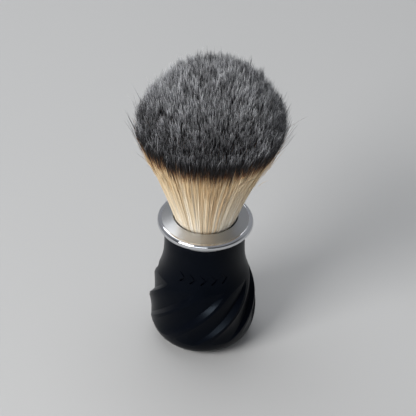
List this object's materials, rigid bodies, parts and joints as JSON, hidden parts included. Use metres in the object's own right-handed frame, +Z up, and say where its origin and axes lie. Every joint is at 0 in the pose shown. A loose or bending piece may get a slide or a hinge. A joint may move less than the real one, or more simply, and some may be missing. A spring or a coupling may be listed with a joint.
{
  "type": "shaving brush",
  "caption": "Shaving brush with a waisted, swirl-ribbed soft grip, a polished metal collar and a flared, domed synthetic fibre knot for whipping and spreading lather.",
  "frame": {"origin": "centre of the foot, on the surface the brush stands on", "axes": "+Z up the brush axis towards the fibre tips, -Y towards the front with the debossed mark, +X to the right seen from the front"},
  "size_m": [0.0526, 0.0526, 0.1126],
  "materials": {
    "grip_rubber": "matte soft-touch",
    "core_plastic": "moulded",
    "ballast_iron": "as cast, deburred",
    "screw_steel": "zinc plated",
    "plug_plastic": "moulded",
    "pad_rubber": "matte",
    "collar_chrome": "polished bead, satin top face",
    "seal_rubber": "smooth",
    "cup_aluminium": "turned",
    "root_resin": "cast resin",
    "fibre_cream": "fine straight fibre",
    "fibre_grey": "fine straight fibre with a dark band and paler tips"
  },
  "bodies": {
    "handle": {"grip_sleeve": "grip_rubber", "handle_core": "core_plastic", "ballast_weight": "ballast_iron", "tie_screw": "screw_steel", "screw_washer": "screw_steel", "base_plug": "plug_plastic", "foot_pad": "pad_rubber", "collar": "collar_chrome", "collar_seal": "seal_rubber", "cup_gasket": "seal_rubber", "knot_cup": "cup_aluminium", "resin_plug": "root_resin", "fibre_roots": "fibre_cream"},
    "knot_shafts": {"fibre_shafts": "fibre_cream"},
    "knot_tips": {"fibre_tips": "fibre_grey"}
  },
  "joints": [
    {"name": "knot_flex_side", "type": "hinge", "parent": "handle", "child": "knot_shafts", "pos_m": [0, 0, 0.052], "axis": [0, 1, 0], "range_deg": [-25, 25], "stiffness_Nm_per_rad": 0.11},
    {"name": "knot_flex_front", "type": "hinge", "parent": "knot_shafts", "child": "knot_tips", "pos_m": [0, 0, 0.07], "axis": [1, 0, 0], "range_deg": [-25, 25], "stiffness_Nm_per_rad": 0.05}
  ]
}
